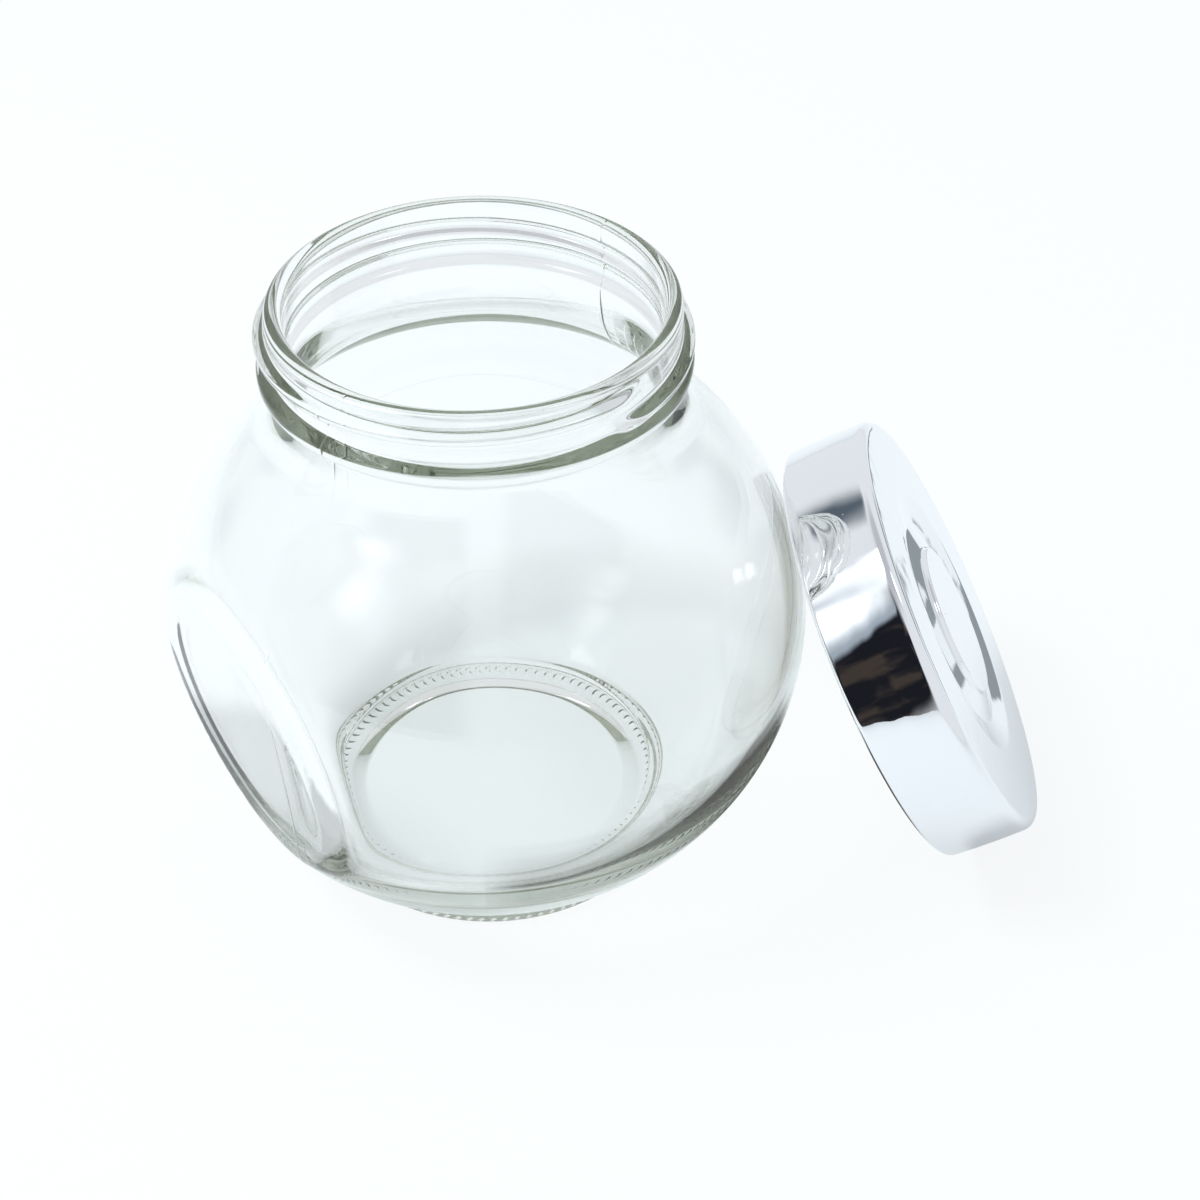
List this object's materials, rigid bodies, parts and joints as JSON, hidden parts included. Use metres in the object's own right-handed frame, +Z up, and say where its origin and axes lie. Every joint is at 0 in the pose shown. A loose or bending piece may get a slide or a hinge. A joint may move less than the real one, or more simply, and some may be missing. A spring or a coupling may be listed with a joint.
{
  "type": "glass ball jar with a screw lid",
  "caption": "Clear glass ball jar with a low foot, a flat side panel and a wide screw neck, and its chrome screw lid leaning against its side; it keeps coins and other small things.",
  "frame": {"origin": "on the ground, at the middle of the footprint of the jar and the leaning lid together; the jar's own axis is upright at x = -0.0201 m, y = 0", "axes": "+X from the jar towards the leaning lid, +Z up, +Y to the back; the flat side panel faces front left"},
  "size_m": [0.1402, 0.1, 0.0976],
  "materials": {
    "clear_glass": "polished clear",
    "chrome_plate": "bright chrome",
    "white_plastic": "satin moulded",
    "liner_foam": "soft matte"
  },
  "bodies": {
    "jar": {"glass_jar": "clear_glass"},
    "liner": {"seal_liner": "liner_foam"},
    "lid": {"lid_shell": "chrome_plate", "lid_thread_insert": "white_plastic"}
  },
  "joints": [
    {"name": "lid_lift", "type": "slide", "parent": "jar", "child": "liner", "axis": [0, 0, 1], "range_m": [0, 0.1]},
    {"name": "lid_turn", "type": "hinge", "parent": "liner", "child": "lid", "pos_m": [0.04197, 0.001, 0.0305], "axis": [0.8788, 0, 0.4772], "continuous": true}
  ]
}
